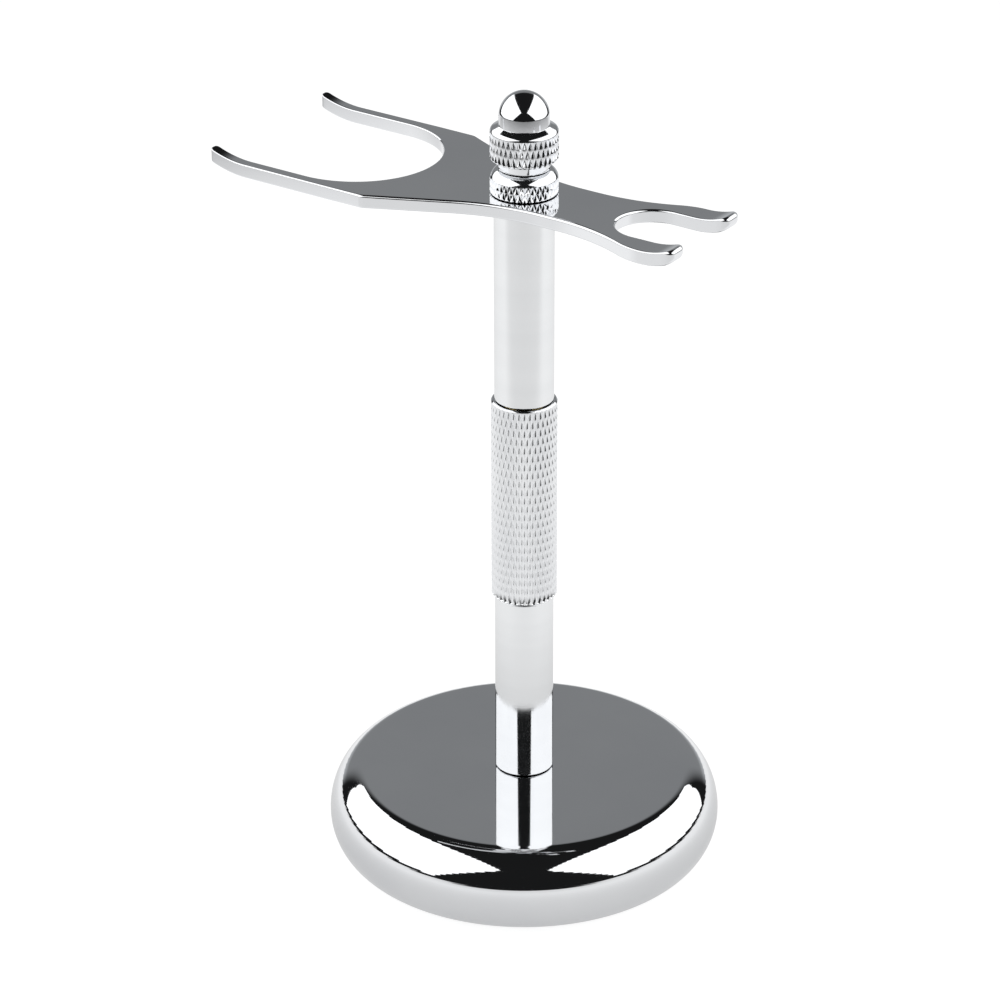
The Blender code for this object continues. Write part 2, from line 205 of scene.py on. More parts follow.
# The right panel; the left one is its mirror image
SOFTBOX_CORNERS = (
    (0.66, -0.54, 0.045),
    (0.185, -0.70, 0.60),
    (0.30, 0.78, 0.56),
    (0.41, 0.52, 0.33),
    (0.66, 0.47, 0.045),
)
ROOM_GLOW = 0.012
ROOM_TINT = (0.95, 0.975, 1.0)
WHITE = (1.0, 1.0, 1.0)
BLACK = (0.0, 0.0, 0.0)
COLOUR_A = 6  # a colour Mix node's own sockets, whose names other sockets share
COLOUR_B = 7
COLOUR_RESULT = 2

# Ramps of brightness: where each starts and ends, and the brightness at the two places
# The four floor ramps are painted light and shade in the floor's glow: painted shade towards the camera
# and close to the stand, painted dark far from it, and painted glow behind it.
FLOOR_PAINTED_SHADE_FRONT = (-0.18, -0.04, 0.80, 1.0)  # by Y: darker towards the camera
FLOOR_PAINTED_SHADE_NEAR = (0.03, 0.11, 0.50, 0.78)  # by distance: darker close to the stand
FLOOR_PAINTED_DARK_FAR = (0.335, 0.44, 1.0, 0.05)  # by distance: dark far from the stand
FLOOR_PAINTED_GLOW_BEHIND = (0.15, 0.35, 0.05, 1.0)  # by Y: pale behind the stand, however far
BACKDROP_SIDES = (0.76, 0.86, 0.0, 1.0)  # by a direction's Y: only straight behind the stand
BACKDROP_TOP = (0.5, 0.72, 1.0, 0.0)  # by a direction's Z: up to this height
BACKDROP_GLOW = (-0.02, 0.16, 0.50, 0.25)  # by a direction's Z: brighter near the floor


def span(node):
    """(greatest radius, lowest z, highest z) of a round CAD node, in millimetres."""
    low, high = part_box(node)
    return high.y / MM, low.z / MM, high.z / MM


# ---------------------------------------------------------------- profiles and outlines


def between(one, other, share):
    """The flat point at a share of the way from one point to another."""
    return (one[0] + (other[0] - one[0]) * share, one[1] + (other[1] - one[1]) * share)


def arc(centre, radii, start, end, steps):
    """Points on an ellipse from start to end degrees, both included."""
    points = []
    for i in range(steps + 1):
        angle = math.radians(start + (end - start) * i / steps)
        points.append((centre[0] + radii[0] * math.cos(angle), centre[1] + radii[1] * math.sin(angle)))
    return points


def sweep(centre, arm, turn, steps):
    """Points that the end of an arm passes as it turns round a centre through turn radians."""
    points = []
    for i in range(steps + 1):
        angle = turn * i / steps
        x = arm.x * math.cos(angle) - arm.y * math.sin(angle)
        y = arm.x * math.sin(angle) + arm.y * math.cos(angle)
        points.append((centre.x + x, centre.y + y))
    return points


def fillet(corner, before, after, radius, steps):
    """Round the corner between the lines to the points before and after it."""
    corner = Vector(corner)
    to_before = (Vector(before) - corner).normalized()
    to_after = (Vector(after) - corner).normalized()
    half = to_before.angle(to_after) / 2
    reach = radius / math.tan(half)
    centre = corner + (to_before + to_after).normalized() * radius / math.sin(half)
    first = corner + to_before * reach - centre
    last = corner + to_after * reach - centre
    turn = math.atan2(first.x * last.y - first.y * last.x, first.dot(last))
    return sweep(centre, first, turn, steps)


def bulged(one, other, turn, steps):
    """Points on an arc from one to other that turns clockwise through turn degrees."""
    one, other = Vector(one), Vector(other)
    half = math.radians(turn) / 2
    chord = other - one
    back = Vector((chord.y, -chord.x)) / 2 / math.tan(half)
    centre = (one + other) / 2 + back
    return sweep(centre, one - centre, -2 * half, steps)


def softened(path, closed):
    """A profile whose marked corners, (radius, z, rounding), are turned into small arcs."""
    points = []
    count = len(path)
    for i, (radius, z, rounding) in enumerate(path):
        if not rounding or (not closed and i in (0, count - 1)):
            points.append((radius, z))
            continue
        before = path[i - 1][:2]
        after = path[(i + 1) % count][:2]
        points += fillet((radius, z), before, after, rounding, EDGE_STEPS)
    return points


def guarded(profile, closed):
    """A profile with points added near the ends of its long stretches, which shade truer for them."""
    points = []
    pairs = list(zip(profile, profile[1:]))
    if closed:
        pairs.append((profile[-1], profile[0]))
    for one, other in pairs:
        points.append(one)
        length = math.dist(one, other)
        if length > 4 * GUARD:
            points += [between(one, other, share) for share in (GUARD / length, 1 - GUARD / length)]
    return points if closed else points + [profile[-1]]


# ---------------------------------------------------------------- mesh helpers


def polar(radius, angle, z):
    """The point at an angle, in radians, round the stand's axis."""
    return (radius * math.cos(angle), radius * math.sin(angle), z)


def linked(name, mesh, mat):
    """A new object of the scene, made of a mesh and one material."""
    mesh.materials.append(mat)
    piece = bpy.data.objects.new(name, mesh)
    bpy.context.collection.objects.link(piece)
    return piece


def add_piece(name, bm, mat, sharp=SHARP_EDGE):
    """Link a mesh drawn in millimetres as a piece, smooth except over sharp edges."""
    bmesh.ops.scale(bm, verts=bm.verts, vec=(MM, MM, MM))
    bmesh.ops.recalc_face_normals(bm, faces=bm.faces)
    mesh = bpy.data.meshes.new(name)
    bm.to_mesh(mesh)
    bm.free()
    mesh.shade_smooth()
    mesh.set_sharp_from_angle(angle=math.radians(sharp))
    return linked(name, mesh, mat)


def stands_for(piece, node, body):
    """Put a piece in the place of one CAD node, on its body."""
    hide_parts(node)
    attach(piece, body)


def circle(bm, radius, z, facets, turn=0.0):
    """One ring of vertices; a ring of radius 0 is a single vertex."""
    if radius == 0:
        return [bm.verts.new((0.0, 0.0, z))]
    return [bm.verts.new(polar(radius, math.tau * i / facets + turn, z)) for i in range(facets)]


def stitch(bm, one, other):
    """Faces between two rings with the same number of vertices, or a ring and a point."""
    if len(one) == 1:
        one, other = other, one
    count = len(one)
    for i in range(count):
        j = (i + 1) % count
        if len(other) == 1:
            bm.faces.new((one[i], one[j], other[0]))
        else:
            bm.faces.new((one[i], one[j], other[j], other[i]))


def turned(profile, closed, facets):
    """A turned solid; an open profile starts and ends on the axis."""
    bm = bmesh.new()
    rings = [circle(bm, radius, z, facets) for radius, z in guarded(profile, closed)]
    for one, other in zip(rings, rings[1:]):
        stitch(bm, one, other)
    if closed:
        stitch(bm, rings[-1], rings[0])
    return bm


# ---------------------------------------------------------------- materials


def node_material(name):
    """A new node material: (material, nodes, links, its Principled shader)."""
    mat = bpy.data.materials.new(name)
    mat.use_nodes = True
    nodes = mat.node_tree.nodes
    return mat, nodes, mat.node_tree.links, nodes["Principled BSDF"]


def noise(nodes, links, scale, detail, stretch=(1.0, 1.0, 1.0)):
    """Noise in the piece's own coordinates, drawn out along an axis where stretch is small."""
    place = nodes.new("ShaderNodeTexCoord")
    mapping = nodes.new("ShaderNodeMapping")
    mapping.inputs["Scale"].default_value = stretch
    texture = nodes.new("ShaderNodeTexNoise")
    texture.inputs["Scale"].default_value = scale
    texture.inputs["Detail"].default_value = detail
    links.new(place.outputs["Object"], mapping.inputs["Vector"])
    links.new(mapping.outputs["Vector"], texture.inputs["Vector"])
    return texture.outputs["Fac"]


def mapped(nodes, links, value, numbers, easing="LINEAR"):
    """A value carried from one range to another; the numbers are the ends of both ranges."""
    spread = nodes.new("ShaderNodeMapRange")
    spread.interpolation_type = easing
    for socket, number in zip(("From Min", "From Max", "To Min", "To Max"), numbers):
        spread.inputs[socket].default_value = number
    links.new(value, spread.inputs["Value"])
    return spread.outputs["Result"]


def tinted(nodes, links, value, colours):
    """A colour that follows a pattern of noise from the first colour to the second."""
    blend = nodes.new("ShaderNodeValToRGB")
    stops = blend.color_ramp.elements
    for stop, position, colour in zip(stops, (NOISE_LOW, NOISE_HIGH), colours):
        stop.position = position
        stop.color = (*colour, 1.0)
    links.new(value, blend.inputs["Fac"])
    return blend.outputs["Color"]


def bumped(nodes, links, height, microns, strength):
    """A surface normal that follows a height pattern."""
    bump = nodes.new("ShaderNodeBump")
    bump.inputs["Distance"].default_value = microns * MICRON
    bump.inputs["Strength"].default_value = strength
    links.new(height, bump.inputs["Height"])
    return bump.outputs["Normal"]


def metal(name, colours, polish, grain, microns, stretch=(1.0, 1.0, 1.0), tint=1.0):
    """A metal whose colour, polish and surface vary with fine noise and slow smears."""
    mat, nodes, links, shader = node_material(name)
    shader.inputs["Metallic"].default_value = 1.0
    shader.inputs["Specular Tint"].default_value = (tint, tint, tint, 1.0)
    smears = noise(nodes, links, SMEAR_SCALE, SMEAR_DETAIL, stretch)
    fine = noise(nodes, links, grain, METAL_GRAIN_DETAIL, stretch)
    links.new(tinted(nodes, links, smears, colours), shader.inputs["Base Color"])
    roughness = mapped(nodes, links, smears, (NOISE_LOW, NOISE_HIGH, *polish))
    links.new(roughness, shader.inputs["Roughness"])
    links.new(bumped(nodes, links, fine, microns, METAL_BUMP), shader.inputs["Normal"])
    return mat


def matte(name, colours, dullness, grain, microns):
    """A non-metal with a mottled colour and a fine grain."""
    mat, nodes, links, shader = node_material(name)
    mottle = noise(nodes, links, MOTTLE_SCALE, MATTE_GRAIN_DETAIL)
    fine = noise(nodes, links, grain, MATTE_GRAIN_DETAIL)
    links.new(tinted(nodes, links, mottle, colours), shader.inputs["Base Color"])
    limits = (dullness - MATTE_SPREAD, dullness + MATTE_SPREAD)
    roughness = mapped(nodes, links, fine, (NOISE_LOW, NOISE_HIGH, *limits))
    links.new(roughness, shader.inputs["Roughness"])
    links.new(bumped(nodes, links, fine, microns, MATTE_BUMP), shader.inputs["Normal"])
    return mat


def all_materials():
    """Every material, under the slot it fills; each has its darkest and lightest colour."""
    chrome = ((0.735, 0.745, 0.765), (0.775, 0.785, 0.80))
    post = ((0.77, 0.78, 0.79), (0.80, 0.81, 0.82))
    knurl = ((0.735, 0.745, 0.765), (0.80, 0.81, 0.82))
    iron = ((0.05, 0.05, 0.055), (0.13, 0.13, 0.13))
    steel = ((0.52, 0.52, 0.50), (0.66, 0.66, 0.63))
    brass = ((0.70, 0.52, 0.24), (0.82, 0.66, 0.34))
    cream = ((0.74, 0.73, 0.67), (0.84, 0.83, 0.78))
    rubber = ((0.018, 0.018, 0.019), (0.035, 0.035, 0.035))
    lengthwise = (1.0, 1.0, 0.05)
    around = (0.1, 0.1, 6.0)
    return {
        "base_chrome": metal("mirror_chrome", chrome, (0.02, 0.045), 900.0, 1.2),
        "post_chrome": metal("post_chrome", post, (0.06, 0.10), 900.0, 2.0, around, 0.9),
        "plate_chrome": metal("plate_chrome", chrome, (0.03, 0.06), 700.0, 1.5),
        "knurled_chrome": metal("knurled_chrome", knurl, (0.06, 0.12), 1500.0, 3.0),
        "cast_iron": matte("cast_iron", iron, 0.75, 900.0, 200.0),
        "plated_steel": metal("plated_steel", steel, (0.25, 0.40), 1800.0, 10.0, lengthwise),
        "bush_brass": metal("turned_brass", brass, (0.2, 0.35), 1500.0, 10.0, around),
        "nylon": matte("nylon", cream, 0.5, 1200.0, 20.0),
        "pad_rubber": matte("pad_rubber", rubber, 0.85, 2500.0, 80.0),
    }


# ---------------------------------------------------------------- base and posts


def base_cover(mat):
    """The turned shell, rounded from its flat top to its foot, and hollow below."""
    radius, low, top = span("base_cover")
    shoulder = (radius - BASE_TOP_ROUND, BASE_WIDEST_Z)
    foot = (radius - BASE_FOOT_ROUND, BASE_WIDEST_Z)
    outer = arc(shoulder, (BASE_TOP_ROUND, top - BASE_WIDEST_Z), 90, 0, BASE_TOP_STEPS)
    outer += arc(foot, (BASE_FOOT_ROUND, BASE_WIDEST_Z - low), 0, -90, BASE_FOOT_STEPS)[1:]
    inner = [
        (CAVITY_RADIUS + PAD_EDGE, low),
        (CAVITY_RADIUS, low + PAD_EDGE),
        (CAVITY_RADIUS, CAVITY_TOP_Z),
        (COVER_HOLE_RADIUS, CAVITY_TOP_Z),
        (COVER_HOLE_RADIUS, top - PAD_EDGE),
        (COVER_HOLE_RADIUS + PAD_EDGE, top),
    ]
    return add_piece("base_shell", turned(outer + inner, True, BASE_FACETS), mat)


def base_pad(mat):
    """The non-slip disc under the base."""
    radius, low, top = span("base_pad")
    path = [(0, top, 0), (radius, top, SOFT_EDGE), (radius, low, PAD_EDGE), (0, low, 0)]
    return add_piece("foam_pad", turned(softened(path, False), False, PAD_FACETS), mat)


def tube(name, node, mat, seat=False):
    """A post section: a tube with softened ends, and a seat for a washer in its top if asked for."""
    radius, low, top = span(node)
    path = [(radius, top, SOFT_EDGE), (radius, low, SOFT_EDGE), (POST_BORE, low, SOFT_EDGE)]
    if seat:
        seat_z = top - WASHER_SEAT_DEPTH
        seat_wall = [(WASHER_SEAT_RADIUS, seat_z, 0), (WASHER_SEAT_RADIUS, top, SOFT_EDGE)]
        path += [(POST_BORE, seat_z, 0)] + seat_wall
    else:
        path.append((POST_BORE, top, SOFT_EDGE))
    return add_piece(name, turned(softened(path, True), True, POST_FACETS), mat)


# ---------------------------------------------------------------- knurled pieces and the rod


def knurl_rows(bm, crest, low, high):
    """The diamond-knurled band between two heights, as raised diamonds with flat tops.

    Each row's ring holds, for every cell, a groove crossing and the two side corners of the diamond
    that is centred on that row. Odd rows are turned by half a cell. The rows are returned from the
    lowest to the highest.
    """
    rows = max(2, round((high - low) / KNURL_ROW))
    step = (high - low) / rows
    cell = math.tau / KNURL_CELLS
    rings = []
    for j in range(rows + 1):
        start = cell / 2 * (j % 2)
        ring = []
        for i in range(KNURL_CELLS):
            for part, radius in enumerate((crest - KNURL_DEPTH, crest, crest)):
                ring.append(bm.verts.new(polar(radius, start + cell * (i + part / 3), low + step * j)))
        rings.append(ring)
    for j, ring in enumerate(rings):
        odd = j % 2
        for i in range(KNURL_CELLS):
            left, west, east = ring[3 * i:3 * i + 3]
            right = ring[(3 * i + 3) % len(ring)]
            middle = cell / 2 * odd + cell * (i + 0.5)
            for side in (-1, 1):
                if not 0 <= j + side <= rows:
                    continue
                # the groove crossing above or below this diamond belongs to the neighbouring row
                tip = rings[j + side][3 * (i + odd) % len(ring)]
                crown = bm.verts.new(polar(crest, middle, low + step * (j + side / 3)))
                bm.faces.new((left, west, crown, tip))
                bm.faces.new((tip, crown, east, right))
                bm.faces.new((west, east, crown))
    return rings


def soften_knurl(piece):
    """Round the diamonds' edges a little and keep their facets flat in the shading."""
    bevel = piece.modifiers.new("plated_edges", "BEVEL")
    bevel.width = KNURL_EDGE * MM
    bevel.segments = KNURL_EDGE_SEGMENTS
    bevel.limit_method = "ANGLE"
    bevel.angle_limit = math.radians(KNURL_EDGE_ANGLE)
    bevel.harden_normals = False
    weigh = piece.modifiers.new("flat_facets", "WEIGHTED_NORMAL")
    weigh.keep_sharp = False


def knurled(name, mat, above, band, below, closed):
    """A knurled piece: profile points above the band, the band itself, and points below it."""
    crest, low, high = band
    facets = 3 * KNURL_CELLS
    bm = bmesh.new()
    rows = knurl_rows(bm, crest, low, high)
    # the rings above the band are turned as far as its last row
    turn = math.pi / KNURL_CELLS * ((len(rows) - 1) % 2)
    upper = [circle(bm, radius, z, facets, turn) for radius, z in above]
    lower = [circle(bm, radius, z, facets) for radius, z in below]
    for chain in (upper + [rows[-1]], [rows[0]] + lower):
        for one, other in zip(chain, chain[1:]):
            stitch(bm, one, other)
    if closed:
        stitch(bm, lower[-1], upper[0])
    piece = add_piece(name, bm, mat, SHARP_KNURL)
    soften_knurl(piece)
    return piece


def knurled_grip(mat):
    """The sleeve in the middle of the post."""
    radius, low, top = span("knurled_grip")
    edge = GRIP_RIM - SOFT_EDGE
    above = [(POST_BORE, top), (radius - edge, top), (radius, top - edge)]
    below = [(radius, low + edge), (radius - edge, low), (POST_BORE, low)]
    return knurled("grip_sleeve", mat, above, (radius, low + GRIP_RIM, top - GRIP_RIM), below, True)


def clamp_collar(mat):
    """The knurled nut with a domed shoulder, and a recess for its washer."""
    radius, low, top = span("clamp_collar")
    shoulder = top - COLLAR_SHOULDER_DROP
    recess = low + COLLAR_RECESS_DEPTH
    slope = bulged((NECK_RADIUS, top), (radius, shoulder), COLLAR_SHOULDER_TURN, COLLAR_SHOULDER_STEPS)
    below = [
        (radius - BAND_RIM / 2, low),
        (COLLAR_RECESS_RADIUS, low),
        (COLLAR_RECESS_RADIUS, recess),
        (ROD_HOLE_RADIUS, recess),
    ]
    band = (radius, low + BAND_RIM, shoulder - BAND_RIM)
    return knurled("collar_nut", mat, [(ROD_HOLE_RADIUS, top)] + slope, band, below, True)


def finial_knob(mat):
    """The finial: a neck, a knurled band, a cone with rounded corners and a dome."""
    radius, low, top = span("finial_knob")
    height = top - DOME_FOOT_Z
    sphere = (DOME_RADIUS**2 + height**2) / (2 * height)
    foot_angle = math.degrees(math.asin((sphere - height) / sphere))
    above = [(0, top)] + arc((0, top - sphere), (sphere, sphere), 90, foot_angle, DOME_STEPS)[1:]
    foot = (DOME_RADIUS, FINIAL_CONE_TOP_Z)
    rim = (radius, FINIAL_CONE_FOOT_Z)
    above += fillet(foot, (DOME_RADIUS, DOME_FOOT_Z), rim, FINIAL_CONE_HOLLOW, FINIAL_CONE_HOLLOW_STEPS)
    above += fillet(rim, foot, (radius, low), FINIAL_CONE_ROUND, FINIAL_CONE_ROUND_STEPS)
    band_low = low + FINIAL_NECK
    recess = low + FINIAL_RECESS_DEPTH
    below = [
        (radius - FINIAL_EDGE, band_low),
        (NECK_RADIUS, band_low),
        (NECK_RADIUS, low),
        (FINIAL_RECESS_RADIUS, low),
        (FINIAL_RECESS_RADIUS, recess),
        (ROD_HOLE_RADIUS, recess),
        (ROD_HOLE_RADIUS, FINIAL_BORE_TOP_Z),
        (0, FINIAL_BORE_TOP_Z),
    ]
    band = (radius, band_low + FINIAL_EDGE, FINIAL_BAND_TOP_Z)
    return knurled("domed_finial", mat, above, band, below, False)


def tie_rod(mat):
    """The rod, with a real helical thread on the length that the collar and finial run on."""
    radius, low, top = span("tie_rod")
    bm = bmesh.new()
    plain = (
        (0, low),
        (radius - ROD_POINT, low),
        (radius, low + ROD_POINT),
        (radius, THREAD_LOW_Z - THREAD_PITCH),
    )
    rings = [circle(bm, reach, z, THREAD_FACETS) for reach, z in plain]
    rows = round((top - THREAD_LOW_Z) / THREAD_PITCH * THREAD_ROWS)
    for j in range(rows + 1):
        z = THREAD_LOW_Z + (top - THREAD_LOW_Z) * j / rows
        fade = min(1.0, j / THREAD_ROWS)
        pointed = radius - max(0.0, z - (top - ROD_POINT))
        ring = []
        for i in range(THREAD_FACETS):
            share = (z / THREAD_PITCH - i / THREAD_FACETS) % 1.0
            crest = min(1.0, THREAD_FLANK * abs(2 * share - 1))
            reach = min(radius - THREAD_DEPTH * (1 - crest) * fade, pointed)
            ring.append(bm.verts.new(polar(reach, math.tau * i / THREAD_FACETS, z)))
        rings.append(ring)
    rings.append(circle(bm, 0, top, THREAD_FACETS))
    for one, other in zip(rings, rings[1:]):
        stitch(bm, one, other)
    return add_piece("threaded_rod", bm, mat, SHARP_THREAD)


# ---------------------------------------------------------------- fork plate


def curl(x, tips):
    """How far the plate has risen at x, and the slope there."""
    starts = (BRUSH_CURL_X, RAZOR_CURL_X)
    rises = (BRUSH_CURL_RISE, RAZOR_CURL_RISE)
    for start, end, rise in zip(starts, tips, rises):
        share = (x - start) / (end - start)
        if share > 0:
            return rise * share**2, 2 * rise * share / (end - start)
    return 0.0, 0.0


def plate_side(brush_tip, half_width):
    """The plate's outer edge on its +Y side, from the brush tip to the razor tip."""
    flare_y = WAIST_HALF_WIDTH + FLARE_RADIUS
    radii = (FLARE_RADIUS, FLARE_RADIUS)
    to_brush = arc((WAIST_BRUSH_X, flare_y), radii, 270 - BRUSH_FLARE_ANGLE, 270, FLARE_STEPS)
    to_razor = arc((WAIST_RAZOR_X, flare_y), radii, 270, 270 + RAZOR_FLARE_ANGLE, FLARE_STEPS)
    end_x, end_y = to_brush[0]
    corner_x = end_x - (half_width - end_y) / math.tan(math.radians(BRUSH_FLARE_ANGLE))
    corner = (corner_x, half_width)
    shoulder = fillet(corner, (brush_tip, half_width), to_brush[0], SHOULDER_RADIUS, SHOULDER_STEPS)
    turn_x, turn_y = to_razor[-1]
    slope = math.radians(RAZOR_FLARE_ANGLE)
    radius = (RAZOR_HALF_WIDTH - turn_y) / (1 - math.cos(slope))
    centre = (turn_x + radius * math.sin(slope), RAZOR_HALF_WIDTH - radius)
    crown = arc(centre, (radius, radius), 90 + RAZOR_FLARE_ANGLE, 90, RAZOR_CROWN_STEPS)[1:]
    return shoulder + to_brush + to_razor + crown


def arm_tip(x, outer, inner, radius):
    """An arm's end from its outer to its inner edge, with both corners rounded."""
    first = fillet((x, outer), (0.0, outer), (x, inner), radius, TIP_STEPS)
    return first + fillet((x, inner), (x, outer), (0.0, inner), radius, TIP_STEPS)


def spaced(points, reach):
    """A closed outline whose long straight stretches are cut into steps no longer than reach."""
    result = []
    for one, other in zip(points, points[1:] + points[:1]):
        length = math.dist(one, other)
        if length < SAME_POINT:
            continue
        steps = max(1, math.ceil(length / reach))
        result += [between(one, other, i / steps) for i in range(steps)]
    return result


def slot_end(centre_x, radius, start, steps):
    """The round end of a fork's slot, half a turn from start degrees."""
    return arc((centre_x, 0.0), (radius, radius), start, start + 180, steps)


def plate_outline(tips, half_width):
    """The whole outline, clockwise seen from above."""
    brush_tip, razor_tip = tips
    at_brush = arm_tip(brush_tip, half_width, BRUSH_SLOT_HALF, BRUSH_TIP_ROUND)
    at_razor = arm_tip(razor_tip, RAZOR_HALF_WIDTH, RAZOR_SLOT_HALF, RAZOR_TIP_ROUND)
    upper = at_brush[::-1] + plate_side(brush_tip, half_width) + at_razor
    lower = [(x, -y) for x, y in reversed(upper)]
    razor_slot = slot_end(RAZOR_SLOT_CENTRE_X, RAZOR_SLOT_HALF, 90, RAZOR_SLOT_STEPS)
    brush_slot = slot_end(BRUSH_SLOT_CENTRE_X, BRUSH_SLOT_HALF, -90, BRUSH_SLOT_STEPS)
    return spaced(upper + razor_slot + lower + brush_slot, OUTLINE_REACH)


def outward(points):
    """Unit normals of a clockwise outline, pointing out of it."""
    normals = []
    count = len(points)
    for i in range(count):
        before = Vector(points[i - 1])
        here = Vector(points[i])
        after = Vector(points[(i + 1) % count])
        along = (here - before).normalized() + (after - here).normalized()
        normals.append(Vector((-along.y, along.x)).normalized())
    return normals


def inside(point, outline):
    """Whether a point lies inside a closed outline."""
    crossings = 0
    for one, other in zip(outline, outline[1:] + outline[:1]):
        if (one[1] > point[1]) != (other[1] > point[1]):
            at = one[0] + (other[0] - one[0]) * (point[1] - one[1]) / (other[1] - one[1])
            crossings += at > point[0]
    return crossings % 2 == 1


def edge_radius(x, razor_tip):
    """The edge's rounding: more mid-plate than on the arms, and most at the razor tips."""
    at_tip = (x - razor_tip) / RAZOR_TIP_LENGTH + 1
    if at_tip > 0:
        return PLATE_ARM_EDGE + (PLATE_TIP_EDGE - PLATE_ARM_EDGE) * at_tip
    near, far = PLATE_EDGE_FADE
    share = min(1.0, max(0.0, (abs(x) - near) / (far - near)))
    return PLATE_MIDDLE_EDGE + (PLATE_ARM_EDGE - PLATE_MIDDLE_EDGE) * share


def plate_rings(points, normals, mid_z):
    """Rings of (place, z, normal) down the plate's rounded edge, from its upper face to its lower one."""
    half = PLATE_THICK / 2
    razor_tip = max(point[0] for point in points)
    radii = [edge_radius(point[0], razor_tip) for point in points]
    angles = [90 * k / PLATE_EDGE_STEPS for k in range(PLATE_EDGE_STEPS + 1)]
    rings = []
    for sign in (1, -1):
        for angle in angles[::-sign]:
            across, up = math.cos(math.radians(angle)), math.sin(math.radians(angle))
            ring = []
            for point, normal, radius in zip(points, normals, radii):
                place = Vector(point) - normal * radius * (1 - across)
                z = mid_z + sign * (half - radius * (1 - up))
                ring.append((place, z, Vector((normal.x * across, normal.y * across, sign * up))))
            rings.append(ring)
    return rings


def curl_points(tips, half_width):
    """Points inside the arms' faces, which let those follow the curled tips."""
    arms = (
        (BRUSH_CURL_X, tips[0], BRUSH_SLOT_HALF, half_width),
        (RAZOR_CURL_X, tips[1], RAZOR_SLOT_HALF, RAZOR_HALF_WIDTH),
    )
    points = []
    for start, end, inner, outer in arms:
        for k in range(CURL_SLICES):
            x = start + (end - start) * k / CURL_SLICES
            for share in (-CURL_SPREAD, 0.0, CURL_SPREAD):
                y = (inner + outer) / 2 + share * (outer - inner) / 2
                points += [Vector((x, y)), Vector((x, -y))]
    return points


def filled(rim, hole, inner):
    """Triangles between a rim and a hole, through the inner points.

    Returned are the number of each corner's point among rim + hole + inner, and the triangles as
    numbers in that list of corners.
    """
    edges = [(i, (i + 1) % len(rim)) for i in range(len(rim))]
    edges += [(len(rim) + i, len(rim) + (i + 1) % len(hole)) for i in range(len(hole))]
    found = delaunay_2d_cdt(rim + hole + inner, edges, [], FILL_WITHIN, FILL_GAP, True)
    places, triangles, sources = found[0], found[2], found[3]
    kept = []
    for triangle in triangles:
        centre = sum((places[k] for k in triangle), Vector((0, 0))) / 3
        if inside(centre, rim) and not inside(centre, hole):
            kept.append(triangle)
    return [source[0] for source in sources], kept


def plate_geometry():
    """The plate's vertices as (place, normal), its faces, and the numbers of its bore's vertices."""
    low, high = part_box("holder_plate")
    tips = (low.x / MM, high.x / MM)
    half_width = high.y / MM
    mid_z = low.z / MM + PLATE_THICK / 2
    outline = plate_outline(tips, half_width)
    edge = plate_rings(outline, outward(outline), mid_z)
    angles = [math.tau * i / BORE_FACETS for i in range(BORE_FACETS)]
    hole = [Vector((PLATE_BORE * math.cos(angle), PLATE_BORE * math.sin(angle))) for angle in angles]
    inner = curl_points(tips, half_width)
    vertices = []
    faces = []

    def put(place, z, normal):
        """Add one vertex, risen and tilted with the curl of the tips, and return its number."""
        rise, slope = curl(place.x, tips)
        tilted = Vector((normal.x - slope * normal.z, normal.y, normal.z))
        vertices.append(((place.x * MM, place.y * MM, (z + rise) * MM), tilted.normalized()))
        return len(vertices) - 1

    rings = [[put(*spot) for spot in ring] for ring in edge]
    count = len(outline)
    for one, other in zip(rings, rings[1:]):
        for i in range(count):
            j = (i + 1) % count
            faces.append((one[i], one[j], other[j], other[i]))

    bores = []
    for sign, ring, spots in ((1, rings[0], edge[0]), (-1, rings[-1], edge[-1])):
        rim = [place for place, z, normal in spots]
        flat = rim + hole + inner
        face_z = mid_z + sign * PLATE_THICK / 2
        up = Vector((0, 0, sign))
        sources, triangles = filled(rim, hole, inner)
        corners = [ring[k] if k < count else put(flat[k], face_z, up) for k in sources]
        faces += [tuple(corners[k] for k in triangle[::sign]) for triangle in triangles]
        corner_of = dict(zip(sources, corners))
        bores.append([corner_of[count + i] for i in range(BORE_FACETS)])

    above, below = bores
    for i in range(BORE_FACETS):
        j = (i + 1) % BORE_FACETS
        faces.append((above[j], above[i], below[i], below[j]))
    return vertices, faces, set(above + below)


def holder_plate(mat):
    """The fork plate, with exact normals so that its flat face mirrors like one."""
    vertices, faces, bore = plate_geometry()
    mesh = bpy.data.meshes.new("fork_plate")
    mesh.from_pydata([place for place, normal in vertices], [], faces)
    mesh.validate()
    bm = bmesh.new()
    bm.from_mesh(mesh)
    bmesh.ops.recalc_face_normals(bm, faces=bm.faces)
    bm.to_mesh(mesh)
    bm.free()
    mesh.shade_smooth()
    mesh.set_sharp_from_angle(angle=math.radians(SHARP_EDGE))
    exact = [None] * len(mesh.loops)
    for face in mesh.polygons:
        on_bore_wall = len(face.vertices) == 4 and bore.issuperset(face.vertices)
        for k in face.loop_indices:
            place, normal = vertices[mesh.loops[k].vertex_index]
            inward = Vector((-place[0], -place[1], 0.0)).normalized()
            exact[k] = inward if on_bore_wall else normal
    mesh.normals_split_custom_set(exact)
    return linked("fork_plate", mesh, mat)


# ---------------------------------------------------------------- studio


def staged(name, corners, faces, mat):
    """A piece of the studio, drawn in the studio's own axes."""
    axes = Matrix.Rotation(math.radians(VIEW_AZIMUTH), 4, "Z")
    mesh = bpy.data.meshes.new(name)
    mesh.from_pydata([axes @ Vector(corner) for corner in corners], [], faces)
    obj = linked(name, mesh, mat)
    return obj


def glowing(name, glow):
    """A material that gives light evenly and mirrors nothing."""
    mat, *_, shader = node_material(name)
    shader.inputs["Base Color"].default_value = (*BLACK, 1.0)
    shader.inputs["Specular IOR Level"].default_value = 0.0
    shader.inputs["Emission Color"].default_value = (*WHITE, 1.0)
    shader.inputs["Emission Strength"].default_value = glow
    return mat


def ramp(nodes, links, value, numbers):
    """Brightness along one of the named ramps."""
    return mapped(nodes, links, value, numbers, "SMOOTHSTEP")


